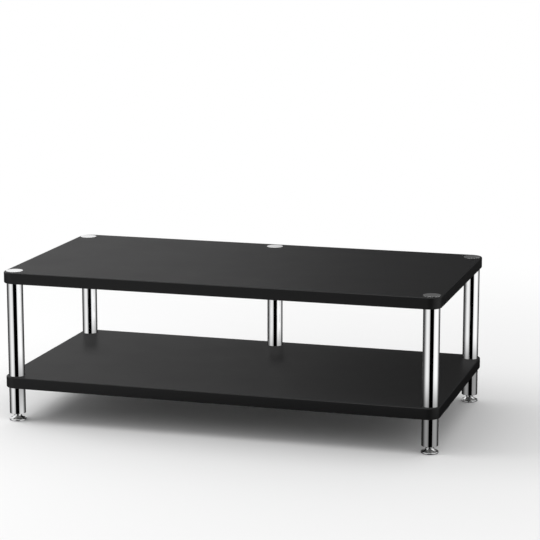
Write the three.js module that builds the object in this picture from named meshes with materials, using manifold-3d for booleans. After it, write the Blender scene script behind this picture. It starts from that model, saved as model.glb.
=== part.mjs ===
// A low rack for audio equipment: two black boards clamped on five chromed columns with screw feet.
// Millimetres. +X runs along the width, the front looks towards -Y and +Z is up.
// The origin is on the floor under the middle of the boards.
import * as THREE from "three";
import { mergeVertices } from "three/addons/utils/BufferGeometryUtils.js";
import Module from "manifold-3d";

// The two boards are alike: a core with a black face all round, cut to one outline.
// A shallow round seat is sunk into the top face over each column. In the bottom board it takes the column,
// and in the top board the cap's disc, so its gap is measured round the disc.
const board = {
  width: 1095,
  depth: 560,
  thickness: 28,
  cornerRadius: 30,
  edgeRadius: 3,
  seatDepth: 1,
  seatGap: 0.4,
};

// A column is a tube between the boards and a shorter one, its leg, under the bottom board.
// The insets run from the boards' edges to a column's axis, and the bay is the space between the boards.
const column = {
  diameter: 40,
  wall: 2,
  sideInset: 25,
  endInset: 32,
  bayHeight: 235,
  legLength: 68.5,
};

// One thread serves the caps, the studs and the feet. The clearance is between the two flanks, on the radius.
const thread = {
  diameter: 10,
  clearance: 0.08,
  pointBevel: 0.8,
};

// Threaded plugs close both ends of each tube. They are pressed in a little below the tube's end,
// and further in at the foot, where the tube's end hides the seat of the foot's neck.
const insert = {
  length: 20,
  pressGap: 0.1,
  recess: 0.3,
  footRecess: 1,
};

// The studs and the caps' spigots go through the boards' bores and this far into the plugs.
const joint = {
  boreClearance: 0.3,
  engagement: 16,
};

// The disc over each column rises this far above the top board.
const cap = {
  overhang: 1,
  height: 0.6,
  edgeBevel: 0.3,
};

// The turned foot. Its stand height is the floor's distance from the leg's end with the foot screwed in.
// Unscrewed by its travel, its spindle still stands in the plug by the least engagement. The flare's dip is
// how far it sags under the straight line between its ends.
const foot = {
  standHeight: 18.5,
  floorGap: 1,
  rimDiameter: 42,
  rimHeight: 4,
  rimRound: 1.2,
  flareHeight: 7,
  flareDip: 1.5,
  neckDiameter: 19,
  travel: 12,
  leastEngagement: 11.5,
  socketDepth: 9,
  socketGap: 0.3,
};

// The pad that stays still on the floor while the foot turns on it. Its stem clips into the foot.
const glide = {
  diameter: 35,
  thickness: 2.5,
  edgeBevel: 0.5,
  stemDiameter: 8,
  stemLength: 4,
  runningGap: 0.15,
};

// Facets round a turned piece: the columns, the caps with their seats and the feet, and what is out of sight.
const facets = {
  column: 32,
  turned: 24,
  hidden: 16,
  flare: 4,
  roundedEdge: 2,
  roundedCorner: 5,
};

// How far a cutting tool runs past the face that it cuts.
const overrun = 2;

// A column's axis in the boards' plan.
const columnX = board.width / 2 - column.sideInset;
const columnY = board.depth / 2 - column.endInset;
const places = [
  { name: "front_left", x: -columnX, y: -columnY },
  { name: "front_right", x: columnX, y: -columnY },
  { name: "back_left", x: -columnX, y: columnY },
  { name: "back_middle", x: 0, y: columnY },
  { name: "back_right", x: columnX, y: columnY },
];

// Heights above the floor, from the feet upwards.
const legBottom = foot.standHeight;
const legTop = legBottom + column.legLength;
const bottomShelfTop = legTop + board.thickness;
const upperTubeTop = bottomShelfTop + column.bayHeight;
const topShelfTop = upperTubeTop + board.thickness;

// What a spigot or stud passes through between a seat and the board's underside.
const web = board.thickness - board.seatDepth;

// Radii that more than one piece shares.
const columnRadius = column.diameter / 2;
const capRadius = columnRadius + cap.overhang;
const seatRadius = capRadius + board.seatGap;
const tubeBore = columnRadius - column.wall;
const threadRadius = thread.diameter / 2;
const tappedRadius = threadRadius + thread.clearance;

const lacquer = new THREE.MeshStandardMaterial({ color: 0x1d1d1e, roughness: 0.45, metalness: 0 });
const chrome = new THREE.MeshStandardMaterial({ color: 0xe4e5e7, roughness: 0.06, metalness: 1 });
const steel = new THREE.MeshStandardMaterial({ color: 0x9a9c9f, roughness: 0.35, metalness: 1 });
const plastic = new THREE.MeshStandardMaterial({ color: 0x18181a, roughness: 0.6, metalness: 0 });

const wasm = await Module();
wasm.setup();

// A geometry with its shared corners merged and its flattened triangles left out, so that it is one closed skin.
function sealed(geometry) {
  const bare = geometry.clone();
  bare.deleteAttribute("normal");
  bare.deleteAttribute("uv");
  const merged = mergeVertices(bare);
  const index = merged.getIndex().array;
  const kept = [];
  for (let i = 0; i < index.length; i += 3) {
    const [a, b, c] = [index[i], index[i + 1], index[i + 2]];
    if (a !== b && b !== c && c !== a) kept.push(a, b, c);
  }
  merged.setIndex(kept);
  merged.computeVertexNormals();
  return merged;
}

function toSolid(geometry) {
  const skin = sealed(geometry);
  const vertProperties = Float32Array.from(skin.getAttribute("position").array);
  const triVerts = Uint32Array.from(skin.getIndex().array);
  return new wasm.Manifold(new wasm.Mesh({ numProp: 3, vertProperties, triVerts }));
}

function toGeometry(solid) {
  const mesh = solid.getMesh();
  const geometry = new THREE.BufferGeometry();
  geometry.setAttribute("position", new THREE.BufferAttribute(Float32Array.from(mesh.vertProperties), 3));
  geometry.setIndex(Array.from(mesh.triVerts));
  geometry.computeVertexNormals();
  return geometry;
}

// A bore is faceted too. Its corners lie outside the true circle, so that its flats touch it and clear a shaft.
function bored(radius, count) {
  return radius / Math.cos(Math.PI / count);
}

// A body turned round +Z. The outline lists [radius, height] anticlockwise, from the axis back to the axis,
// or as a closed loop where the body has a through bore.
function turned(outline, count) {
  const points = outline.map(([radius, height]) => new THREE.Vector2(radius, height));
  if (outline[0][0] > 0) points.push(points[0].clone());
  const lathe = new THREE.LatheGeometry(points, count);
  lathe.rotateX(Math.PI / 2);
  return sealed(lathe);
}

// A screw shank from one height to another, bevelled at the ends that enter a thread.
function shank(bottom, top) {
  return [
    [0, bottom],
    [threadRadius - thread.pointBevel, bottom],
    [threadRadius, bottom + thread.pointBevel],
    [threadRadius, top - thread.pointBevel],
    [threadRadius - thread.pointBevel, top],
    [0, top],
  ];
}

// A drill's path along +Z from one height to another.
function drill(place, radius, count, bottom, top) {
  const radiusAtCorners = bored(radius, count);
  const path = new THREE.CylinderGeometry(radiusAtCorners, radiusAtCorners, top - bottom, count);
  path.rotateX(Math.PI / 2);
  path.translate(place.x, place.y, (bottom + top) / 2);
  return toSolid(path);
}

// A board with rounded corners and edges, lying from height 0 up, with a seat and a bore at each column.
function boardGeometry() {
  const x = board.width / 2;
  const y = board.depth / 2;
  const r = board.cornerRadius;
  const outline = new THREE.Shape();
  outline.absarc(x - r, y - r, r, 0, Math.PI / 2);
  outline.absarc(r - x, y - r, r, Math.PI / 2, Math.PI);
  outline.absarc(r - x, r - y, r, Math.PI, Math.PI * 1.5);
  outline.absarc(x - r, r - y, r, Math.PI * 1.5, Math.PI * 2);
  const slab = new THREE.ExtrudeGeometry(outline, {
    depth: board.thickness - 2 * board.edgeRadius,
    curveSegments: facets.roundedCorner,
    bevelThickness: board.edgeRadius,
    bevelSize: board.edgeRadius,
    bevelOffset: -board.edgeRadius,
    bevelSegments: facets.roundedEdge,
  });
  slab.translate(0, 0, board.edgeRadius);
  const boreRadius = threadRadius + joint.boreClearance;
  const above = board.thickness + overrun;
  let solid = toSolid(slab);
  for (const place of places) {
    solid = solid.subtract(drill(place, boreRadius, facets.hidden, -overrun, above));
    solid = solid.subtract(drill(place, seatRadius, facets.turned, web, above));
  }
  return toGeometry(solid);
}

// A length of tube from height 0 up.
function tubeGeometry(length) {
  const bore = bored(tubeBore, facets.column);
  return turned(
    [
      [bore, 0],
      [columnRadius, 0],
      [columnRadius, length],
      [bore, length],
    ],
    facets.column,
  );
}

// A tapped plug from height 0 up.
function insertGeometry() {
  const radius = tubeBore - insert.pressGap;
  const bore = bored(tappedRadius, facets.hidden);
  return turned(
    [
      [bore, 0],
      [radius, 0],
      [radius, insert.length],
      [bore, insert.length],
    ],
    facets.hidden,
  );
}

// The disc and its spigot, with the disc's underside at height 0.
function capGeometry() {
  const tip = -(web + joint.engagement);
  const face = board.seatDepth + cap.height;
  return turned(
    [
      ...shank(tip, 0).slice(0, 3),
      [threadRadius, 0],
      [capRadius, 0],
      [capRadius, face - cap.edgeBevel],
      [capRadius - cap.edgeBevel, face],
      [0, face],
    ],
    facets.turned,
  );
}

// The stud, from height 0 up: through the bottom board and into the plugs over and under it.
function studGeometry() {
  return turned(shank(0, web + 2 * joint.engagement), facets.hidden);
}

// Heights of the foot above the floor: its underside, where the flare starts and ends, and its neck's seat.
const rimTop = foot.floorGap + foot.rimHeight;
const neckBottom = rimTop + foot.flareHeight;
const neckSeat = legBottom + insert.footRecess;
const socketFloor = neckSeat - foot.socketDepth;

// The flare, from the rim's lip to the neck: a parabola that sags by the dip halfway along.
function flareOutline(lip, neck) {
  const start = new THREE.Vector2(lip, rimTop);
  const end = new THREE.Vector2(neck, neckBottom);
  const sag = end.clone().sub(start).setLength(2 * foot.flareDip);
  const control = start.clone().lerp(end, 0.5).add(new THREE.Vector2(-sag.y, sag.x));
  const curve = new THREE.QuadraticBezierCurve(start, control, end);
  return curve.getPoints(facets.flare).map((point) => point.toArray());
}

// The foot's outside: a rounded rim, a flare that sweeps up like a trumpet's bell, and a straight neck.
function footGeometry() {
  const rim = foot.rimDiameter / 2;
  const neck = foot.neckDiameter / 2;
  const lip = rim - foot.rimRound;
  const recess = bored(glide.diameter / 2 + glide.runningGap, facets.turned);
  const stemBore = bored(glide.stemDiameter / 2 + glide.runningGap, facets.turned);
  const stemTop = glide.thickness + glide.stemLength + glide.runningGap;
  const socket = bored(threadRadius + insert.pressGap, facets.turned);
  return turned(
    [
      [0, stemTop],
      [stemBore, stemTop],
      [stemBore, glide.thickness],
      [recess, glide.thickness],
      [recess, foot.floorGap],
      [lip, foot.floorGap],
      [rim, foot.floorGap + foot.rimRound],
      [rim, rimTop - foot.rimRound],
      ...flareOutline(lip, neck),
      [neck, neckSeat],
      [socket, neckSeat],
      [socket, socketFloor],
      [0, socketFloor],
    ],
    facets.turned,
  );
}

// The spindle stands in the foot's socket and runs into the plug, long enough to hold at full travel.
function spindleGeometry() {
  const bottom = socketFloor + foot.socketGap;
  const top = neckSeat + foot.travel + foot.leastEngagement;
  return turned(shank(bottom, top), facets.hidden);
}

function glideGeometry() {
  const radius = glide.diameter / 2;
  const stem = glide.stemDiameter / 2;
  return turned(
    [
      [0, 0],
      [radius - glide.edgeBevel, 0],
      [radius, glide.edgeBevel],
      [radius, glide.thickness],
      [stem, glide.thickness],
      [stem, glide.thickness + glide.stemLength],
      [0, glide.thickness + glide.stemLength],
    ],
    facets.hidden,
  );
}

function piece(name, geometry, material, height) {
  const mesh = new THREE.Mesh(geometry, material);
  mesh.name = name;
  mesh.position.z = height;
  return mesh;
}

// Everything on one column's axis, from the cap down to the floor.
function columnGroup(place) {
  const group = new THREE.Group();
  group.position.set(place.x, place.y, 0);
  const sink = insert.recess + insert.length;
  const lowest = legBottom + insert.footRecess;
  const bottomSeat = bottomShelfTop - board.seatDepth;
  const topSeat = topShelfTop - board.seatDepth;
  group.add(
    piece(`top_cap_${place.name}`, capGeometry(), chrome, topSeat),
    piece(`upper_top_insert_${place.name}`, insertGeometry(), steel, upperTubeTop - sink),
    piece(`upper_tube_${place.name}`, tubeGeometry(upperTubeTop - bottomSeat), chrome, bottomSeat),
    piece(`upper_bottom_insert_${place.name}`, insertGeometry(), steel, bottomSeat + insert.recess),
    piece(`joining_stud_${place.name}`, studGeometry(), steel, legTop - joint.engagement),
    piece(`lower_top_insert_${place.name}`, insertGeometry(), steel, legTop - sink),
    piece(`lower_tube_${place.name}`, tubeGeometry(column.legLength), chrome, legBottom),
    piece(`foot_insert_${place.name}`, insertGeometry(), steel, lowest),
    piece(`foot_spindle_${place.name}`, spindleGeometry(), steel, 0),
    piece(`foot_base_${place.name}`, footGeometry(), chrome, 0),
    piece(`glide_pad_${place.name}`, glideGeometry(), plastic, 0),
  );
  return group;
}

const rack = new THREE.Group();
rack.add(piece("top_shelf", boardGeometry(), lacquer, upperTubeTop));
rack.add(piece("bottom_shelf", boardGeometry(), lacquer, legTop));
for (const place of places) rack.add(columnGroup(place));

export default rack;
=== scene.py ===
"""The looks of a low, wide rack for audio equipment.

Two satin black boards are clamped on five chromed columns, and each column stands on a turned screw foot.
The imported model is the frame: a size that it holds is read from its boxes, and one that no box gives is a
named field, in the unit that its class says. Blender's lengths are metres. +X runs along the width, the
front looks towards -Y and +Z is up.
"""

from __future__ import annotations

import logging
import math
from collections.abc import Callable
from dataclasses import dataclass
from enum import Enum

import bmesh
import bpy
import numpy as np
from bpy.types import ColorRamp, Material, Node, NodeSocket, NodeTree, Object
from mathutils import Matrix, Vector
from mathutils.geometry import tessellate_polygon


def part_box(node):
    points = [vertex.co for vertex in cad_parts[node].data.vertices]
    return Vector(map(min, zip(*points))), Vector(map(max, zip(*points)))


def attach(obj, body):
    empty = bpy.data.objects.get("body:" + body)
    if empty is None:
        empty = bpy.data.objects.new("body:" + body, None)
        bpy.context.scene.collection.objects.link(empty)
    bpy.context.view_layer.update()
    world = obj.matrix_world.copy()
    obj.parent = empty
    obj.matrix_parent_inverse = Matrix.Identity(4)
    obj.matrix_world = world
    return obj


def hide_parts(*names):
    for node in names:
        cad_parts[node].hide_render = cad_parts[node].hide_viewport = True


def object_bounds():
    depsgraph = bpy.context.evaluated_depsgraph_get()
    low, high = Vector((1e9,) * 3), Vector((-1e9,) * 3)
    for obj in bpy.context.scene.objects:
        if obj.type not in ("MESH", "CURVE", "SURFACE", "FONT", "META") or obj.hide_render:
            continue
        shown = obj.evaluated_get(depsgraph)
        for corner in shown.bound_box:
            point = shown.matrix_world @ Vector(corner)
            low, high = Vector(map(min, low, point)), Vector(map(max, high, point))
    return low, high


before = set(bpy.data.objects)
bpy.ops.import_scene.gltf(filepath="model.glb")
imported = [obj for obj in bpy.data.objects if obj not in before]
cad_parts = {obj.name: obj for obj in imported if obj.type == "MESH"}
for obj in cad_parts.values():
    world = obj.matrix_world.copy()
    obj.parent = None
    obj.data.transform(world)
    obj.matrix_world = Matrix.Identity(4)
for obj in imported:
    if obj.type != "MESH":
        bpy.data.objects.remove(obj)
cad_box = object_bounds()

log = logging.getLogger("audio_rack")

MM = 0.001
TAU = 2 * math.pi
SEAM = 0.0002 * MM        # points closer than this are merged
Colour = tuple[float, float, float]        # red, green and blue


class Slot(Enum):
    """The record's material slots."""

    BOARD = "black_board"
    CHROME = "polished_chrome"
    STEEL = "plain_steel"
    PLASTIC = "black_plastic"


class Place(Enum):
    """Where the five columns stand. The value ends the names of a column's nodes."""

    FRONT_LEFT = "front_left"
    FRONT_RIGHT = "front_right"
    BACK_LEFT = "back_left"
    BACK_MIDDLE = "back_middle"
    BACK_RIGHT = "back_right"


def grey(level: float) -> tuple[float, float, float, float]:
    """A grey that hides what is behind it."""
    return (level, level, level, 1.0)


class Graph:
    """A node tree that is built by calls and written as expressions on terms."""

    def __init__(self, tree: NodeTree) -> None:
        """Takes a material's or the world's node tree and empties it."""
        self.tree = tree
        tree.nodes.clear()

    def node(
        self,
        kind: str,
        settings: dict[str, object] | None = None,
        inputs: dict[str | int, object] | None = None,
    ) -> Node:
        """Adds a node.

        Args:
            kind: the node's type.
            settings: its own settings, which are set first. "stops" gives a ramp's (position, level) pairs.
            inputs: values, sockets or terms for its inputs, by name or number.

        Returns:
            The new node.
        """
        made = self.tree.nodes.new(kind)
        for name, value in (settings or {}).items():
            if name == "stops":
                self._set_stops(made.color_ramp, value)
            else:
                setattr(made, name, value)
        for name, value in (inputs or {}).items():
            source = value.socket if isinstance(value, Term) else value
            if isinstance(source, NodeSocket):
                self.tree.links.new(source, made.inputs[name])
            else:
                made.inputs[name].default_value = source
        return made

    @staticmethod
    def _set_stops(ramp: ColorRamp, stops: list[tuple[float, float]]) -> None:
        """Gives a ramp its stops.

        Args:
            ramp: a new ramp, with its two default stops.
            stops: (position, grey level) pairs in order.
        """
        ramp.elements.remove(ramp.elements[1])
        for number, (position, level) in enumerate(stops):
            stop = ramp.elements[0] if number == 0 else ramp.elements.new(position)
            stop.position = position
            stop.color = grey(level)

    def term(self, kind: str, settings: dict | None, inputs: dict | None, output: str | int = 0) -> Term:
        """Adds a node and returns one of its outputs, by name or number, as a term."""
        return Term(self, self.node(kind, settings, inputs).outputs[output])

    def noise(self, vector: Term, scale: float, detail: float = 2.0) -> Term:
        """A cloud from 0 to 1 about 0.5, with so many features in a metre and so many finer layers."""
        inputs = {"Vector": vector, "Scale": scale, "Detail": detail}
        return self.term("ShaderNodeTexNoise", {"noise_dimensions": "3D"}, inputs, "Fac")

    def point(self) -> Term:
        """The surface's own point, in metres."""
        return self.term("ShaderNodeTexCoord", None, None, "Object")

    def ray(self, fact: str) -> Term:
        """A fact about a ray: its length in metres, or 1 where it is of one kind and 0 where it isn't."""
        return self.term("ShaderNodeLightPath", None, None, fact)

    def bump(self, height: Term, depth: float, strength: float) -> Term:
        """A normal that follows a height from 0 to 1, with its depth in metres and the share of it in use."""
        inputs = {"Height": height, "Distance": depth, "Strength": strength}
        return self.term("ShaderNodeBump", None, inputs, "Normal")

    def blend(self, share: Term, first: Colour, second: Colour) -> Term:
        """A colour between the first, where the share is 0, and the second, where it is 1."""
        # The colour sockets go by number, because a Mix node's others have the same names.
        inputs = {0: share, 6: (*first, 1.0), 7: (*second, 1.0)}
        return self.term("ShaderNodeMix", {"data_type": "RGBA"}, inputs, 2)

    def end(self, kind: str, shader: Node) -> None:
        """Leads a shader to the tree's output, of its kind."""
        self.node(kind, None, {"Surface": shader.outputs[0]})

    def glow(self, level: float) -> Node:
        """A grey that is seen as it is, whatever lights it."""
        return self.node("ShaderNodeEmission", None, {"Color": grey(level), "Strength": 1.0})

    def mix(self, share: Term, first: Node, second: Node) -> Node:
        """A shader between the first, where the share is 0, and the second, where it is 1."""
        return self.node("ShaderNodeMixShader", None, {0: share, 1: first.outputs[0], 2: second.outputs[0]})


class Term:
    """A value that varies over a surface: an output socket that Python's operators work on."""

    def __init__(self, graph: Graph, socket: NodeSocket) -> None:
        """Wraps an output socket of a node in a graph."""
        self.graph = graph
        self.socket = socket

    def _math(self, operation: str, *values: Term | float) -> Term:
        """Adds a Math node, whose inputs are the values in order, and returns its result."""
        return self.graph.term("ShaderNodeMath", {"operation": operation}, dict(enumerate(values)))

    def __add__(self, other: Term | float) -> Term:
        """self + other"""
        return self._math("ADD", self, other)

    def __radd__(self, other: float) -> Term:
        """other + self"""
        return self._math("ADD", other, self)

    def __sub__(self, other: Term | float) -> Term:
        """self - other"""
        return self._math("SUBTRACT", self, other)

    def __rsub__(self, other: float) -> Term:
        """other - self"""
        return self._math("SUBTRACT", other, self)

    def __mul__(self, other: Term | float) -> Term:
        """self * other"""
        return self._math("MULTIPLY", self, other)

    def __rmul__(self, other: float) -> Term:
        """other * self"""
        return self._math("MULTIPLY", other, self)

    def root(self) -> Term:
        """The square root."""
        return self._math("SQRT", self)

    def angle_from(self, other: Term) -> Term:
        """The angle whose tangent is self over other, in radians from -pi to pi."""
        return self._math("ARCTAN2", self, other)

    def step(self, low: float, high: float) -> Term:
        """A smooth step, which is 0 up to the low value and 1 from the high one."""
        inputs = {"Value": self, "From Min": low, "From Max": high}
        return self.graph.term("ShaderNodeMapRange", {"interpolation_type": "SMOOTHSTEP"}, inputs)

    def towards(self, other: Term | float, share: Term) -> Term:
        """A value between self, where share is 0, and other, where it is 1."""
        return self + (other - self) * share

    def axes(self) -> tuple[Term, Term, Term]:
        """A vector's three numbers."""
        split = self.graph.node("ShaderNodeSeparateXYZ", None, {"Vector": self})
        return tuple(Term(self.graph, output) for output in split.outputs)


def shaded(name: str, shader: Callable[[Graph], Node]) -> Material:
    """Makes a material.

    Args:
        name: its name.
        shader: adds its nodes to a graph and returns the last.

    Returns:
        The material.
    """
    made = bpy.data.materials.new(name)
    made.use_nodes = True
    graph = Graph(made.node_tree)
    graph.end("ShaderNodeOutputMaterial", shader(graph))
    return made


@dataclass(frozen=True)
class Finish:
    """A finish: its slot in the record, its colour and its gloss.

    Attributes:
        slot: the record's material slot; not used.
        colour: the base colour.
        roughness: 0 for a mirror and 1 for chalk.
    """

    slot: Slot
    colour: Colour
    roughness: float

    def shade(self, share: float) -> Colour:
        """The colour times a share."""
        return tuple(share * part for part in self.colour)

    def inputs(self, graph: Graph) -> dict[str, object]:
        """What the finish feeds the shader, by the inputs' names."""
        raise NotImplementedError

    def shader(self, graph: Graph) -> Node:
        """The shader that the inputs feed."""
        return graph.node("ShaderNodeBsdfPrincipled", None, self.inputs(graph))

    def material(self) -> Material:
        """The finish as a material, which is made once."""
        name = type(self).__name__
        return bpy.data.materials.get(name) or shaded(name, self.shader)


@dataclass(frozen=True)
class SatinBlack(Finish):
    """The boards' satin black face: a fine pearl under a low sheen, with faint clouds in colour and gloss.

    Attributes:
        sheen: the specular level, where 0.5 is common plastic.
        pearls: pearls in a metre.
        pearl_depth: the pearls' height in metres.
        clouds: clouds in a metre.
        cloud_tint: how far the clouds move the colour, as a share of it.
        cloud_share: how far the clouds and pearls move the gloss.
    """

    slot: Slot = Slot.BOARD
    colour: Colour = (0.006, 0.006, 0.0062)
    roughness: float = 0.38
    sheen: float = 0.18
    pearls: float = 1100.0
    pearl_depth: float = 0.02 * MM
    clouds: float = 9.0
    cloud_tint: float = 0.1
    cloud_share: float = 0.05

    def inputs(self, graph: Graph) -> dict[str, object]:
        """The clouds vary the colour and, with the pearls, the roughness. The pearls are the bump.

        Args:
            graph: the material's graph.

        Returns:
            The inputs, by name.
        """
        point = graph.point()
        cloud = graph.noise(point, self.clouds)
        pearl = graph.noise(point, self.pearls, detail=1.0)
        darker = self.shade(1 - self.cloud_tint)
        lighter = self.shade(1 + self.cloud_tint)
        return {
            "Base Color": graph.blend(cloud, darker, lighter),
            "Roughness": self.roughness + (cloud - 0.5) * self.cloud_share + (pearl - 0.5) * self.cloud_share,
            "Specular IOR Level": self.sheen,
            "Normal": graph.bump(pearl, self.pearl_depth, strength=0.35),
        }


@dataclass(frozen=True)
class Chrome(Finish):
    """Chrome plate, which a thin haze dulls here and there.

    Attributes:
        clouds: clouds of haze in a metre.
        dulled: the share of the colour that the haze leaves.
        haze: how far the haze and the tool's marks move the gloss.
    """

    slot: Slot = Slot.CHROME
    colour: Colour = (0.80, 0.803, 0.807)
    roughness: float = 0.045
    clouds: float = 35.0
    dulled: float = 0.985
    haze: float = 0.03

    def plate(self, graph: Graph, cloud: Term) -> dict[str, object]:
        """The shader's inputs for the metal and its colour, which the clouds dull."""
        return {"Base Color": graph.blend(cloud, self.shade(self.dulled), self.colour), "Metallic": 1.0}


@dataclass(frozen=True)
class DrawnChrome(Chrome):
    """The tubes' chrome: a mirror over tube that was drawn and polished, with hair lines along it.

    Attributes:
        hairs: hair lines in a metre round the tube.
        hair_stretch: how many times longer than wide a hair line is.
        hair_depth: their height in metres.
    """

    hairs: float = 1800.0
    hair_stretch: float = 60.0
    hair_depth: float = 0.00015 * MM

    def inputs(self, graph: Graph) -> dict[str, object]:
        """Stretched noise is the hair lines, and wide noise the haze in the roughness.

        Args:
            graph: the material's graph.

        Returns:
            The inputs, by name.
        """
        point = graph.point()
        squeeze = (1.0, 1.0, 1.0 / self.hair_stretch)
        stretched = graph.term("ShaderNodeVectorMath", {"operation": "MULTIPLY"}, {0: point, 1: squeeze})
        hair = graph.noise(stretched, self.hairs, detail=1.0)
        cloud = graph.noise(point, self.clouds)
        return {
            **self.plate(graph, cloud),
            "Roughness": self.roughness + (cloud - 0.5) * self.haze + (hair - 0.5) * self.haze,
            "Normal": graph.bump(hair, self.hair_depth, strength=0.05),
        }


@dataclass(frozen=True)
class TurnedChrome(Chrome):
    """The caps' and feet's chrome: a mirror over faint rings that the lathe left. V is along the outline.

    Attributes:
        rings: rings in a metre of the outline.
        ring_depth: their height in metres.
    """

    roughness: float = 0.07
    clouds: float = 60.0
    haze: float = 0.05
    rings: float = 2500.0
    ring_depth: float = 0.0008 * MM

    def inputs(self, graph: Graph) -> dict[str, object]:
        """One-way noise along the outline is the rings, in the bump and the roughness.

        Args:
            graph: the material's graph.

        Returns:
            The inputs, by name.
        """
        along = graph.term("ShaderNodeTexCoord", None, None, "UV").axes()[1]
        noise = {"W": along, "Scale": self.rings, "Detail": 3.0}
        ring = graph.term("ShaderNodeTexNoise", {"noise_dimensions": "1D"}, noise, "Fac")
        return {
            **self.plate(graph, graph.noise(graph.point(), self.clouds)),
            "Roughness": self.roughness + (ring - 0.5) * self.haze,
            "Normal": graph.bump(ring, self.ring_depth, strength=0.3),
        }


@dataclass(frozen=True)
class ZincPlate(Finish):
    """Zinc-plated steel, for the threads and plugs: grey with a spangle of blue and straw.

    Attributes:
        straw: the colour that the spangle goes to.
        spangles: spangles in a metre.
        blue_until: up to where in its noise a spangle is blue.
        straw_from: from where it is straw.
        grain: grains in a metre.
        grain_depth: their height in metres.
        grain_share: how far they move the gloss.
    """

    slot: Slot = Slot.STEEL
    colour: Colour = (0.40, 0.42, 0.45)
    roughness: float = 0.36
    straw: Colour = (0.47, 0.45, 0.40)
    spangles: float = 260.0
    blue_until: float = 0.35
    straw_from: float = 0.65
    grain: float = 2600.0
    grain_depth: float = 0.01 * MM
    grain_share: float = 0.16

    def inputs(self, graph: Graph) -> dict[str, object]:
        """The spangle mixes the two colours, and the grain is the bump and part of the roughness.

        Args:
            graph: the material's graph.

        Returns:
            The inputs, by name.
        """
        point = graph.point()
        spangle = graph.noise(point, self.spangles).step(self.blue_until, self.straw_from)
        grain = graph.noise(point, self.grain)
        return {
            "Base Color": graph.blend(spangle, self.colour, self.straw),
            "Metallic": 1.0,
            "Roughness": self.roughness + (grain - 0.5) * self.grain_share,
            "Normal": graph.bump(grain, self.grain_depth, strength=0.25),
        }


@dataclass(frozen=True)
class MouldedPlastic(Finish):
    """Black moulded plastic with a spark-eroded grain, for the glide pads.

    Attributes:
        grain: grains in a metre.
        grain_depth: their height in metres.
        grain_share: how far they move the gloss.
        hollow: the share of the colour that is left between them, as painted shade in the grain's hollows.
    """

    slot: Slot = Slot.PLASTIC
    colour: Colour = (0.019, 0.019, 0.02)
    roughness: float = 0.58
    grain: float = 1900.0
    grain_depth: float = 0.03 * MM
    grain_share: float = 0.12
    hollow: float = 0.8

    def inputs(self, graph: Graph) -> dict[str, object]:
        """The grain varies the colour, as painted shade in its hollows, and the roughness a little, and is
        the bump.

        Args:
            graph: the material's graph.

        Returns:
            The inputs, by name.
        """
        grain = graph.noise(graph.point(), self.grain, detail=3.0)
        return {
            # Painted shade: the colour is darker where the grain's bump is low.
            "Base Color": graph.blend(grain, self.shade(self.hollow), self.colour),
            "Roughness": self.roughness + (grain - 0.5) * self.grain_share,
            "Normal": graph.bump(grain, self.grain_depth, strength=0.4),
        }


@dataclass(frozen=True)
class Box:
    """A node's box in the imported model, in metres.

    Attributes:
        low: its lowest corner.
        high: its highest corner.
    """

    low: np.ndarray
    high: np.ndarray

    @classmethod
    def of(cls, node: str) -> Box:
        """The box of a node, by the node's name."""
        low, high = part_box(node)
        return cls(np.array(low), np.array(high))

    @property
    def axis(self) -> np.ndarray:
        """The plan position of its upright middle axis."""
        return (self.low[:2] + self.high[:2]) / 2

    @property
    def radius(self) -> float:
        """Half its width."""
        return float(self.high[0] - self.low[0]) / 2

    @property
    def bottom(self) -> float:
        """Its lowest height."""
        return float(self.low[2])

    @property
    def top(self) -> float:
        """Its highest height."""
        return float(self.high[2])


@dataclass
class Skin:
    """A mesh in the making: points, faces and, for each face's corners, a flat map.

    Attributes:
        points: the points, one row each.
        faces: lists of point numbers.
        flat: the corners' places on the flat map, face by face, if it has one.
    """

    points: np.ndarray
    faces: list[list[int]]
    flat: np.ndarray | None = None

    def piece(self, name: str, finish: Finish, body: str, *nodes: str, crease: float = 32.0) -> Object:
        """Makes the mesh, closes its seams and poles, dresses it and lets it ride on its body.

        Args:
            name: the piece's name.
            finish: its finish.
            body: the body that it moves with.
            *nodes: the nodes that it stands for.
            crease: the angle in degrees past which an edge shows as sharp.

        Returns:
            The piece.
        """
        mesh = bpy.data.meshes.new(name)
        mesh.from_pydata(self.points.tolist(), [], self.faces)
        if self.flat is not None:
            mesh.uv_layers.new(name="along").data.foreach_set("uv", self.flat.ravel())
        work = bmesh.new()
        work.from_mesh(mesh)
        bmesh.ops.remove_doubles(work, verts=work.verts, dist=SEAM)
        bmesh.ops.recalc_face_normals(work, faces=work.faces)
        work.to_mesh(mesh)
        work.free()
        mesh.shade_smooth()
        mesh.set_sharp_from_angle(angle=math.radians(crease))
        mesh.materials.append(finish.material())
        made = bpy.data.objects.new(name, mesh)
        bpy.context.scene.collection.objects.link(made)
        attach(made, body)
        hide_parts(*nodes)
        return made


def grid_faces(rows: int, columns: int, wrap_rows: bool = False) -> np.ndarray:
    """The faces of a grid whose columns go round and close.

    Face (i, j) has the points (i, j), (i, j + 1), (i + 1, j + 1) and (i + 1, j), with j + 1 taken round.

    Args:
        rows: the number of rows.
        columns: the number of columns.
        wrap_rows: whether the last row is joined to the first.

    Returns:
        Four point numbers a face, counted row by row.
    """
    i = np.arange(rows if wrap_rows else rows - 1)[:, None]
    j = np.arange(columns)[None, :]
    below = i * columns
    above = (i + 1) % rows * columns
    right = (j + 1) % columns
    corners = [below + j, below + right, above + right, above + j]
    return np.stack(np.broadcast_arrays(*corners), axis=-1).reshape(-1, 4)


def unit(turn: np.ndarray) -> np.ndarray:
    """The points (cos a, sin a) of angles a in radians."""
    return np.stack([np.cos(turn), np.sin(turn)], axis=-1)


def full_turn(steps: int) -> np.ndarray:
    """Angles in even steps round a full turn, in radians."""
    return np.arange(steps) * TAU / steps


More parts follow.
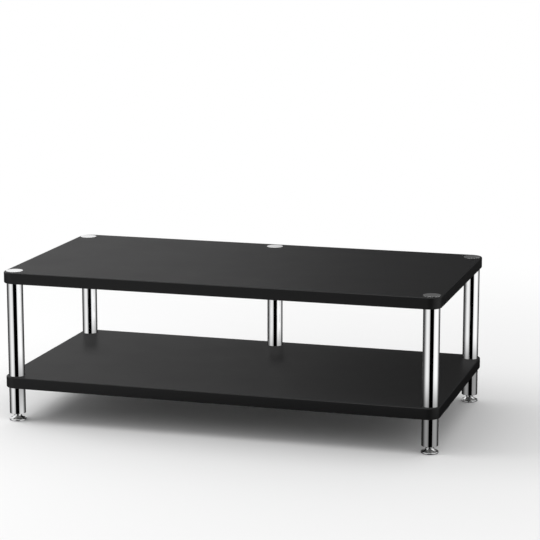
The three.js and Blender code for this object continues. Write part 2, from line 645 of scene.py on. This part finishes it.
def arc(centre: tuple[float, float], radius: float, start: float, end: float, steps: int) -> np.ndarray:
    """Points on a circle, centre + radius * (cos a, sin a), with a from start to end in degrees."""
    return np.array(centre) + radius * unit(np.radians(np.linspace(start, end, steps + 1)))


def raised(plan: np.ndarray, height: np.ndarray) -> np.ndarray:
    """Rings of plan points at their heights, which are a column with one for each ring."""
    return np.concatenate([plan, np.broadcast_to(height[:, None], (*plan.shape[:2], 1))], axis=-1)


def lathed(outline: np.ndarray, axis: np.ndarray, segments: int) -> np.ndarray:
    """Rings of points: each outline point (r, z) goes round an axis as (r cos a, r sin a, z)."""
    return raised(axis + outline[:, None, :1] * unit(full_turn(segments)), outline[:, 1:])


def firmed(outline: np.ndarray, bored: bool, margin: float = 0.3 * MM) -> np.ndarray:
    """Adds a point at a margin from both ends of each long straight.

    A smooth edge between a straight and a round then bends the shading within the margin only.

    Args:
        outline: radius and height of each point.
        bored: whether the last point is joined to the first.
        margin: the distance from a straight's ends, in metres.

    Returns:
        The outline with the added points.
    """
    following = np.roll(outline, -1, axis=0)
    length = np.hypot(*(following - outline).T)
    long = length > 4 * margin
    long[-1] &= bored
    inward = margin * (following - outline) / np.maximum(length, margin)[:, None]
    points = np.stack([outline, outline + inward, following - inward], axis=1)
    kept = np.stack([np.ones_like(long), long, long], axis=1)
    return points[kept]


def revolved(outline: np.ndarray, axis: np.ndarray, segments: int = 96) -> Skin:
    """A body of revolution. U is the share of a turn and V the length along the outline, for lathe marks.

    Args:
        outline: radius and height of each point, from the axis back to the axis, or a loop round a bore.
        axis: the plan position of the axis.
        segments: the number of steps round.

    Returns:
        The skin, whose poles are still rings of coincident points.
    """
    bored = bool(outline[0, 0] > 0)
    outline = firmed(outline, bored)
    faces = grid_faces(len(outline), segments, bored)
    lengths = np.hypot(*(np.roll(outline, -1, axis=0) - outline).T)
    ends = np.cumsum(lengths)
    row, column = np.divmod(faces[:, 0], segments)
    left = column / segments
    right = (column + 1) / segments
    start = (ends - lengths)[row]
    end = ends[row]
    flat = np.stack([left, start, right, start, right, end, left, end], axis=-1).reshape(-1, 2)
    return Skin(lathed(outline, axis, segments).reshape(-1, 3), faces.tolist(), flat)


@dataclass
class Board:
    """A board with rounded corners and edges, a shallow seat and a bore over each column. In millimetres.

    Attributes:
        name: the node that it stands for.
        corner_radius: the outline's corner radius.
        edge_radius: the radius of the rounded edges.
        seat_radius: the radius of the seats.
        seat_depth: their depth.
        bore_radius: the radius of the bores.
        margin: the flat ring that parts the shading of the edges and faces.
        corner_steps: steps round a corner.
        edge_steps: steps round an edge.
        hole_steps: steps round a seat or bore.
        finish: its finish.
    """

    name: str
    corner_radius: float = 30.0
    edge_radius: float = 3.0
    seat_radius: float = 21.4
    seat_depth: float = 1.0
    bore_radius: float = 5.3
    margin: float = 0.4
    corner_steps: int = 20
    edge_steps: int = 7
    hole_steps: int = 72
    finish: Finish = SatinBlack()

    def rings(self, box: Box) -> np.ndarray:
        """The rim as rings from the underside round the edges to the top face.

        A ring at offset o from the outline is four arcs of radius corner - o about the corners' centres. The
        edge's quarter circles give o = e (1 - cos a) and the height e (1 + sin a), mirrored for the top.

        Args:
            box: the board's box.

        Returns:
            The points, ring by ring.
        """
        corner = self.corner_radius * MM
        edge = self.edge_radius * MM
        inner = edge + self.margin * MM
        climb = np.radians(np.linspace(-90, 0, self.edge_steps + 1))
        offset = edge * (1 - np.cos(climb))
        height = edge * (1 + np.sin(climb))
        offsets = np.concatenate([[inner], offset, offset[::-1], [inner]])
        thickness = box.top - box.bottom
        heights = np.concatenate([[0], height, thickness - height[::-1], [thickness]]) + box.bottom
        reach = (box.high - box.low)[:2] / 2 - corner
        signs = np.array([[1, 1], [-1, 1], [-1, -1], [1, -1]])
        turn = np.radians(np.linspace(0, 90, self.corner_steps + 1)) + np.arange(4)[:, None] * math.pi / 2
        plan = box.axis + signs[:, None] * reach + (corner - offsets)[:, None, None, None] * unit(turn)
        return raised(plan.reshape(len(offsets), -1, 2), heights[:, None])

    def hole(self, box: Box, axis: np.ndarray) -> np.ndarray:
        """A seat and its bore as four rings, from the top face down to the underside.

        Args:
            box: the board's box.
            axis: the column's plan position.

        Returns:
            The points, ring by ring.
        """
        seat = self.seat_radius * MM
        bore = self.bore_radius * MM
        floor = box.top - self.seat_depth * MM
        outline = np.array([(seat, box.top), (seat, floor), (bore, floor), (bore, box.bottom)])
        return lathed(outline, axis, self.hole_steps)

    def build(self, axes: list[np.ndarray]) -> Object:
        """The board: the rim and the holes as walls of rings, and the two faces filled between them.

        Args:
            axes: the columns' plan positions.

        Returns:
            The piece.
        """
        box = Box.of(self.name)
        walls = [self.rings(box)[::-1], *[self.hole(box, axis) for axis in axes]]
        points = np.concatenate([wall.reshape(-1, 3) for wall in walls])
        faces, upper, lower = [], [], []
        start = 0
        for wall in walls:
            rows, steps = wall.shape[:2]
            faces += (grid_faces(rows, steps) + start).tolist()
            upper.append(np.arange(steps) + start)
            start += rows * steps
            lower.append(np.arange(steps) + start - steps)
        for loops in (upper, lower):
            numbers = np.concatenate(loops)
            filled = tessellate_polygon([[Vector(points[n]) for n in loop] for loop in loops])
            faces += numbers[np.array(filled)].tolist()
        piece = Skin(points, faces).piece(f"{self.name}_board", self.finish, "rack", self.name)
        piece.visible_glossy = False
        return piece


@dataclass
class PlacedPieces:
    """Pieces that stand at one of the five places, and the finishes that they share.

    Attributes:
        place: where they stand.
        turned: the finish of the turned pieces.
        steel: the finish of threads and plugs.
    """

    place: Place
    turned: Finish = TurnedChrome()
    steel: Finish = ZincPlate()

    def node(self, stem: str) -> str:
        """The name of one of the nodes or pieces at this place."""
        return f"{stem}_{self.place.value}"


@dataclass
class Column(PlacedPieces):
    """A column: the cap on the top board, the tube between the boards and the leg under them. In millimetres.

    Attributes:
        wall: the tubes' wall.
        tube_round: the rounding of the tubes' outer ends.
        cap_round: the rounding of the cap's upper edge.
        spigot_radius: the radius of the cap's spigot.
        cap_thickness: the disc's thickness.
        tip_bevel: the bevel of the spigot's tip.
        drawn: the tubes' finish.
    """

    wall: float = 2.0
    tube_round: float = 0.3
    cap_round: float = 0.15
    spigot_radius: float = 5.0
    cap_thickness: float = 1.6
    tip_bevel: float = 0.8
    drawn: Finish = DrawnChrome()

    def tube(self, stem: str, name: str) -> Object:
        """A length of tube: a ring section with rounded outer ends, carried round.

        Args:
            stem: the first part of its node's name.
            name: the first part of the piece's name.

        Returns:
            The piece.
        """
        box = Box.of(self.node(stem))
        bore = box.radius - self.wall * MM
        edge = self.tube_round * MM
        lower = arc((box.radius - edge, box.bottom + edge), edge, -90, 0, steps=3)
        upper = arc((box.radius - edge, box.top - edge), edge, 0, 90, steps=3)
        outline = np.vstack([[[bore, box.bottom]], lower, upper, [[bore, box.top]]])
        piece = revolved(outline, box.axis).piece(self.node(name), self.drawn, "rack", self.node(stem))
        piece.visible_glossy = False
        return piece

    def cap(self) -> Object:
        """The cap: a disc with a rounded upper edge over a spigot with a bevelled tip.

        Returns:
            The piece.
        """
        box = Box.of(self.node("top_cap"))
        edge = self.cap_round * MM
        seat = box.top - self.cap_thickness * MM
        spigot = self.spigot_radius * MM
        bevel = self.tip_bevel * MM
        tip = [[0, box.bottom], [spigot - bevel, box.bottom], [spigot, box.bottom + bevel]]
        rim = arc((box.radius - edge, box.top - edge), edge, 0, 90, steps=5)
        outline = np.vstack([tip, [[spigot, seat], [box.radius, seat]], rim, [[0, box.top]]])
        return revolved(outline, box.axis).piece(self.node("cap"), self.turned, "rack", self.node("top_cap"))

    def build(self) -> list[Object]:
        """Plates the plugs and the stud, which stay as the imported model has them, and makes the rest.

        Returns:
            The pieces that it made.
        """
        for stem in ("upper_top_insert", "upper_bottom_insert", "joining_stud", "lower_top_insert"):
            dress(self.node(stem), self.steel)
        return [self.cap(), self.tube("upper_tube", "column"), self.tube("lower_tube", "leg")]


def dress(node: str, finish: Finish) -> None:
    """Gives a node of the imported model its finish.

    Args:
        node: the node's name.
        finish: what it gets.
    """
    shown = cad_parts[node]
    shown.data.materials.clear()
    shown.data.materials.append(finish.material())


@dataclass
class LevellingFoot(PlacedPieces):
    """A screw foot: its plug in the leg, its spindle, its turned base and its glide. In millimetres.

    Attributes:
        neck_radius: the base's neck.
        rim_height: the rim's height.
        rim_round: the rounding of the rim's edges.
        rim_segments: steps round the base.
        flare_height: how far the flare rises from the rim to the neck.
        flare_dip: how far it sags under the straight line between its ends.
        flare_steps: steps along it.
        shoulder_round: the rounding of the neck's upper edge.
        socket_radius: the hole that the spindle stands in.
        socket_depth: its depth.
        glide_gap: the running gap round the glide.
        glide_thickness: the glide's pad.
        glide_round: the rounding of the glide's lower edge.
        stem_radius: the glide's stem.
        pitch: the thread's pitch.
        pitch_rows: rings of points in a pitch.
        spindle_sides: points in a ring.
        thread_depth: the thread's depth.
        steepness: how much steeper the flanks are than a wave that fills the pitch.
        root_cut: how far the wave is sunk in the root, as a share of the depth.
        plastic: the glide's finish.
    """

    neck_radius: float = 9.5
    rim_height: float = 4.0
    rim_round: float = 1.2
    rim_segments: int = 112
    flare_height: float = 7.0
    flare_dip: float = 1.5
    flare_steps: int = 28
    shoulder_round: float = 0.4
    socket_radius: float = 5.1
    socket_depth: float = 9.0
    glide_gap: float = 0.15
    glide_thickness: float = 2.5
    glide_round: float = 0.5
    stem_radius: float = 4.0
    pitch: float = 1.5
    pitch_rows: int = 10
    spindle_sides: int = 28
    thread_depth: float = 0.92
    steepness: float = 1.25
    root_cut: float = 0.06
    plastic: Finish = MouldedPlastic()

    def base(self) -> Object:
        """The turned base: a rounded rim, a trumpet's flare, a neck, and hollows for its fittings.

        The flare is a parabola: with t from 0 to 1, its points are (1 - t)^2 start + 2 t (1 - t) pull
        + t^2 end. The pull stands off the middle between its ends by twice the dip.

        Returns:
            The piece.
        """
        box = Box.of(self.node("foot_base"))
        glide = Box.of(self.node("glide_pad"))
        rim = box.radius
        edge = self.rim_round * MM
        neck = self.neck_radius * MM
        shoulder = self.shoulder_round * MM
        rim_top = box.bottom + self.rim_height * MM
        neck_bottom = rim_top + self.flare_height * MM
        gap = self.glide_gap * MM
        recess = glide.radius + gap
        ceiling = glide.bottom + self.glide_thickness * MM
        stem = self.stem_radius * MM + gap
        stem_top = glide.top + gap
        socket = self.socket_radius * MM
        socket_floor = box.top - self.socket_depth * MM
        start = np.array([rim - edge, rim_top])
        end = np.array([neck, neck_bottom])
        along = (end - start) / np.linalg.norm(end - start)
        pull = (start + end) / 2 + 2 * self.flare_dip * MM * np.array([-along[1], along[0]])
        t = np.linspace(0, 1, self.flare_steps + 1)[:, None]
        flare = (1 - t) ** 2 * start + 2 * t * (1 - t) * pull + t**2 * end
        hollow = [[0, stem_top], [stem, stem_top], [stem, ceiling], [recess, ceiling], [recess, box.bottom]]
        lower = arc((rim - edge, box.bottom + edge), edge, -90, 0, steps=6)
        upper = arc((rim - edge, rim_top - edge), edge, 0, 90, steps=6)[:-1]
        crown = arc((neck - shoulder, box.top - shoulder), shoulder, 0, 90, steps=4)
        hole = [[socket, box.top], [socket, socket_floor], [0, socket_floor]]
        outline = np.vstack([hollow, lower, upper, flare, crown, hole])
        skin = revolved(outline, box.axis, self.rim_segments)
        return skin.piece(self.node("foot"), self.turned, self.node("screw_foot"), self.node("foot_base"))

    def spindle(self) -> Object:
        """The threaded spindle, as radius over turn a and height z.

        Its flank is the triangle wave t of z / pitch - a / turn, a right-hand thread. The radius is root +
        depth * (steepness * t - cut), kept between root and crest, or the bevelled tips' where that is less.

        Returns:
            The piece.
        """
        box = Box.of(self.node("foot_spindle"))
        pitch = self.pitch * MM
        depth = self.thread_depth * MM
        root = box.radius - depth
        rows = round((box.top - box.bottom) / pitch * self.pitch_rows) + 1
        turn = full_turn(self.spindle_sides)
        height = np.linspace(box.bottom, box.top, rows)[:, None]
        wave = np.abs((height / pitch - turn / TAU) % 1.0 - 0.5) * 2
        crest = np.clip(self.steepness * wave - self.root_cut, 0, 1)
        tip = root + np.minimum(height - box.bottom, box.top - height)
        radius = np.pad(np.minimum(root + depth * crest, tip), ((1, 1), (0, 0)))
        level = np.vstack([height[:1], height, height[-1:]])
        points = raised(box.axis + radius[:, :, None] * unit(turn), level).reshape(-1, 3)
        skin = Skin(points, grid_faces(*radius.shape).tolist())
        body = self.node("screw_foot")
        return skin.piece(self.node("spindle"), self.steel, body, self.node("foot_spindle"), crease=50.0)

    def glide(self) -> Object:
        """The glide: a pad with a rounded lower edge and a stem that clips into the base.

        Returns:
            The piece.
        """
        box = Box.of(self.node("glide_pad"))
        edge = self.glide_round * MM
        stem = self.stem_radius * MM
        pad_top = box.bottom + self.glide_thickness * MM
        lower = arc((box.radius - edge, box.bottom + edge), edge, -90, 0, steps=5)
        upper = [[box.radius, pad_top], [stem, pad_top], [stem, box.top], [0, box.top]]
        skin = revolved(np.vstack([[[0, box.bottom]], lower, upper]), box.axis)
        return skin.piece(self.node("glide"), self.plastic, self.node("glide"), self.node("glide_pad"))

    def plug(self) -> Object:
        """The plug in the leg's end that the spindle turns in, with a countersunk mouth.

        Returns:
            The piece.
        """
        box = Box.of(self.node("foot_insert"))
        bore = self.socket_radius * MM
        sink = self.pitch * MM / 2
        mouth = [[bore, box.bottom + sink], [bore + sink, box.bottom], [box.radius, box.bottom]]
        skin = revolved(np.array([*mouth, [box.radius, box.top], [bore, box.top]]), box.axis)
        return skin.piece(self.node("plug"), self.steel, "rack", self.node("foot_insert"))

    def build(self) -> list[Object]:
        """Makes the foot's pieces."""
        return [self.plug(), self.spindle(), self.base(), self.glide()]


@dataclass(frozen=True)
class Belt:
    """A belt of the studio's walls.

    Attributes:
        stops: (azimuth, level) pairs, in degrees from the lens's side, positive towards the rack's right.
        start: where it takes over from the belt below, as the height of a direction one unit long.
        full: where it has taken over.
    """

    stops: tuple[tuple[float, float], ...]
    start: float = -1.0
    full: float = -1.0

    def level(self, graph: Graph, turn: Term) -> Term:
        """The belt's level round the horizon.

        Args:
            graph: the world's graph.
            turn: the azimuth as a share of a turn, with the lens's side at 0.5.

        Returns:
            The level.
        """
        brightest = max(level for _, level in self.stops)
        scaled = [(azimuth / 360 + 0.5, level / brightest) for azimuth, level in self.stops]
        return graph.term("ShaderNodeValToRGB", {"stops": scaled}, {"Fac": turn}) * brightest


LOW_BELT = Belt(
    (
        (-180, 0.05), (-125, 0.05), (-112, 0.1), (-97, 0.27), (-77, 0.88), (-55, 1.15), (-38, 0.95),
        (-27, 0.75), (-22, 0.0), (27, 0.0), (33, 1.1), (60, 1.25), (86, 1.27), (100, 0.7), (118, 0.18),
        (136, 0.02), (180, 0.05),
    ),
)
HORIZON_BELT = Belt(
    (
        (-180, 0.04), (-172, 0.22), (-160, 0.9), (-60, 1.2), (-40, 0.3), (40, 0.3), (60, 1.1), (100, 1.1),
        (118, 0.1), (135, 0.0), (170, 0.01), (180, 0.04),
    ),
    start=-0.03,
    full=0.05,
)
EYE_BELT = Belt(
    (
        (-180, 0.8), (-177, 0.93), (-170, 1.1), (-160, 1.22), (-60, 1.2), (-40, 0.3), (40, 0.3), (60, 1.1),
        (105, 1.1), (125, 0.4), (160, 0.06), (168, 0.06), (173, 0.13), (175.5, 0.12), (178.5, 0.3),
        (180, 0.8),
    ),
    start=0.11,
    full=0.15,
)
HIGH_BELT = Belt(
    (
        (-180, 0.04), (-172, 0.22), (-160, 0.9), (-140, 1.1), (-50, 1.1), (-30, 0.05), (35, 0.05), (55, 0.9),
        (115, 0.9), (150, 0.3), (170, 0.01), (180, 0.04),
    ),
    start=0.23,
    full=0.27,
)
ROOF_BELT = Belt(((-180, 3.4),), start=0.8, full=0.95)


@dataclass(frozen=True)
class Surroundings:
    """The studio as light from every direction.

    Matt surfaces get an even light. Glossy ones see the walls, which the columns show as upright bands.

    Attributes:
        lens_yaw: how far the lens's side is turned from -Y towards +X, in degrees.
        belts: the walls' belts, from the lowest.
        ground: the level underfoot.
        ground_start: where it starts to take over, as the depth of a direction one unit long.
        ground_full: where it has taken over.
        even: the level that matt surfaces get.
    """

    lens_yaw: float = 16.4
    belts: tuple[Belt, ...] = (LOW_BELT, HORIZON_BELT, EYE_BELT, HIGH_BELT, ROOF_BELT)
    ground: float = 0.55
    ground_start: float = 0.4
    ground_full: float = 0.6
    even: float = 0.9

    def walls(self, graph: Graph) -> Term:
        """The walls' level for the direction that a ray looks in.

        Args:
            graph: the world's graph.

        Returns:
            The level.
        """
        x, y, z = graph.term("ShaderNodeTexCoord", None, None, "Generated").axes()
        yaw = math.radians(self.lens_yaw)
        towards_lens = x * math.sin(yaw) - y * math.cos(yaw)
        to_the_right = x * math.cos(yaw) + y * math.sin(yaw)
        turn = to_the_right.angle_from(towards_lens) * (1 / TAU) + 0.5
        level = self.belts[0].level(graph, turn)
        for belt in self.belts[1:]:
            level = level.towards(belt.level(graph, turn), z.step(belt.start, belt.full))
        return level.towards(self.ground, (0 - z).step(self.ground_start, self.ground_full))

    def build(self) -> None:
        """Sets the world: white for the lens, even for matt surfaces, and the walls for the rest."""
        world = bpy.data.worlds.new("studio")
        world.use_nodes = True
        bpy.context.scene.world = world
        graph = Graph(world.node_tree)
        level = self.walls(graph).towards(self.even, graph.ray("Is Diffuse Ray"))
        level = level.towards(1.0, graph.ray("Is Camera Ray"))
        sky = graph.node("ShaderNodeBackground", None, {"Color": level, "Strength": 1.0})
        graph.end("ShaderNodeOutputWorld", sky)


def staged(name: str, points: np.ndarray, faces: np.ndarray, material: Material) -> Object:
    """Makes a surface that isn't part of the rack.

    Args:
        name: its name.
        points: its points, one row each.
        faces: four point numbers a face.
        material: its material.

    Returns:
        The surface.
    """
    mesh = bpy.data.meshes.new(name)
    mesh.from_pydata(points.tolist(), [], faces.tolist())
    mesh.materials.append(material)
    made = bpy.data.objects.new(name, mesh)
    bpy.context.scene.collection.objects.link(made)
    return made


@dataclass(frozen=True)
class PaintedReflections:
    """Painted reflections of the rack for glossy surfaces: two black cards, and a grey stub in each column.

    The boards and tubes themselves are left out of what is mirrored, because they would break the columns'
    even bands and streak the boards. One card hangs over the feet and one lies round the discs. In metres.

    Attributes:
        inset: how far the cards are inside the boards' edges, and the lower one in the board.
        sunk: how far the upper card is under the top board's face.
        stub_radius: the stubs' radius.
        stub_height: their height over the board.
        sides: the number of sides of a stub.
        card_level: the grey that the cards glow with, a painted reflection.
        stub_level: the grey that the stubs glow with, a painted reflection.
    """

    inset: float = 0.004
    sunk: float = 0.0001
    stub_radius: float = 0.019
    stub_height: float = 0.04
    sides: int = 24
    card_level: float = 0.015
    stub_level: float = 0.22

    @staticmethod
    def shader(graph: Graph, level: float) -> Node:
        """A painted reflection: a grey glow from the front that is clear from behind."""
        behind = graph.term("ShaderNodeNewGeometry", None, None, "Backfacing")
        return graph.mix(behind, graph.glow(level), graph.node("ShaderNodeBsdfTransparent"))

    def card(self, board: Box, level: float) -> np.ndarray:
        """The corners of a card inside a board's edges, in the order that turns it up."""
        x, y = np.stack([board.low[:2] + self.inset, board.high[:2] - self.inset], axis=1)
        return np.array([(x[0], y[0], level), (x[1], y[0], level), (x[1], y[1], level), (x[0], y[1], level)])

    def stub(self, tube: Box) -> np.ndarray:
        """The points of a stub: a ring about the tube's axis at its foot, and one at the stub's height."""
        outline = [(self.stub_radius, tube.bottom), (self.stub_radius, tube.bottom + self.stub_height)]
        return lathed(np.array(outline), tube.axis, self.sides).reshape(-1, 3)

    def build(self, top: Box, bottom: Box, tubes: list[Box]) -> None:
        """Puts the painted-reflection cards in the boards' faces and stands a painted-reflection stub in each
        tube.

        Args:
            top: the top board's box.
            bottom: the bottom board's box.
            tubes: the tubes' boxes.
        """
        # The cards and stubs glow at fixed greys that only glossy rays see: painted reflections of the boards
        # and columns.
        black = shaded("card", lambda graph: self.shader(graph, self.card_level))
        dull = shaded("stub", lambda graph: self.shader(graph, self.stub_level))
        face = np.array([[0, 1, 2, 3]])
        made = [
            staged("card_up", self.card(top, top.top - self.sunk), face, black),
            staged("card_down", self.card(bottom, bottom.bottom + self.inset), face[:, ::-1], black),
        ]
        sides = grid_faces(2, self.sides)
        made += [staged(f"stub_{number}", self.stub(tube), sides, dull) for number, tube in enumerate(tubes)]
        for flag in made:
            for ray in ("camera", "diffuse", "transmission", "shadow"):
                setattr(flag, f"visible_{ray}", False)


@dataclass(frozen=True)
class Floor:
    """The pale floor, which goes over into the white background around. In metres.

    Attributes:
        half_width: half its width.
        colour: its grey.
        fade_start: how far from the rack's middle it starts to go over.
        fade_end: where it is white.
        dim_start: where on X the chrome starts to see it dark, by painted shade in its reflections.
        dim_end: where on X it is darkest.
        near: up to what distance the chrome sees it so.
        far: from what distance it is clear.
        depth: the share of the walls' light that the painted shade takes where it is darkest.
    """

    half_width: float = 30.0
    colour: float = 0.8
    fade_start: float = 0.7
    fade_end: float = 2.2
    dim_start: float = -0.95
    dim_end: float = 0.1
    near: float = 0.35
    far: float = 0.8
    depth: float = 0.7

    def shader(self, graph: Graph) -> Node:
        """Matt near the rack, white further off, and clear to the glossy surfaces, which see the walls.

        Close by, and more so to the right, it darkens the walls that they see through it, which dulls the
        legs: painted shade in their reflections.

        Args:
            graph: the floor's graph.

        Returns:
            The last of its nodes.
        """
        x, y, _ = graph.point().axes()
        distance = (x * x + y * y).root()
        far = distance.step(self.fade_start, self.fade_end) * graph.ray("Is Camera Ray")
        matt = graph.node("ShaderNodeBsdfDiffuse", None, {"Color": grey(self.colour)})
        # Painted shade in the reflections: near the rack and to the right, glossy rays see the walls darker
        # through the floor.
        close = 1 - graph.ray("Ray Length").step(self.near, self.far)
        taken = x.step(self.dim_start, self.dim_end) * close * self.depth
        clear = graph.mix(taken, graph.node("ShaderNodeBsdfTransparent"), graph.glow(0.0))
        return graph.mix(graph.ray("Is Glossy Ray"), graph.mix(far, matt, graph.glow(1.0)), clear)

    def build(self) -> None:
        """Lays the floor at height 0."""
        corners = np.array([(-1, -1, 0), (1, -1, 0), (1, 1, 0), (-1, 1, 0)]) * self.half_width
        staged("floor", corners, np.array([[0, 1, 2, 3]]), shaded("pale_floor", self.shader))


@dataclass(frozen=True)
class Softbox:
    """A large soft lamp, in metres and watts.

    Attributes:
        name: its name.
        place: where it hangs.
        width: its width.
        height: its height.
        power: its power.
    """

    name: str
    place: tuple[float, float, float]
    width: float
    height: float
    power: float

    def build(self, target: Vector) -> None:
        """Hangs the lamp, turned to a target.

        Args:
            target: what it lights.
        """
        light = bpy.data.lights.new(self.name, "AREA")
        light.shape = "RECTANGLE"
        light.size = self.width
        light.size_y = self.height
        light.energy = self.power
        lamp = bpy.data.objects.new(self.name, light)
        lamp.location = self.place
        lamp.rotation_euler = (target - Vector(self.place)).to_track_quat("-Z", "Y").to_euler()
        lamp.visible_glossy = False
        bpy.context.scene.collection.objects.link(lamp)


@dataclass(frozen=True)
class Viewpoint:
    """The camera at the photograph's view.

    Attributes:
        place: where it stands, in metres.
        pitch: how far it looks down, in degrees.
        yaw: how far it looks to the left of +Y, in degrees.
        lens: its focal length in millimetres, on a sensor 36 mm wide.
    """

    place: tuple[float, float, float] = (1.4436, -4.7155, 1.3325)
    pitch: float = 11.136
    yaw: float = 16.363
    lens: float = 133.87

    def build(self) -> None:
        """Sets the scene's camera."""
        data = bpy.data.cameras.new("camera")
        data.lens = self.lens
        camera = bpy.data.objects.new("camera", data)
        camera.location = self.place
        camera.rotation_euler = (math.radians(90 - self.pitch), 0, math.radians(self.yaw))
        bpy.context.scene.collection.objects.link(camera)
        bpy.context.scene.camera = camera


def main() -> None:
    """Builds the studio and the rack, and reports each piece."""
    logging.basicConfig(level=logging.INFO, format="%(name)s: %(message)s")
    bpy.context.scene.view_settings.view_transform = "Standard"
    Viewpoint().build()
    Surroundings().build()
    Floor().build()
    low, high = cad_box
    middle = (low + high) / 2
    Softbox("key", place=(-2.2, -0.4, 2.6), width=2.4, height=1.6, power=40.0).build(middle)

    tubes = [Box.of(f"upper_tube_{place.value}") for place in Place]
    # Painted reflections of the boards and columns, which only glossy surfaces see.
    PaintedReflections().build(Box.of("top_shelf"), Box.of("bottom_shelf"), tubes)
    axes = [tube.axis for tube in tubes]
    made = [Board(name).build(axes) for name in ("top_shelf", "bottom_shelf")]
    for place in Place:
        made += Column(place).build()
        made += LevellingFoot(place).build()
    for piece in made:
        log.info("%s, %d faces", piece.name, len(piece.data.polygons))


if __name__ == "__main__":
    main()
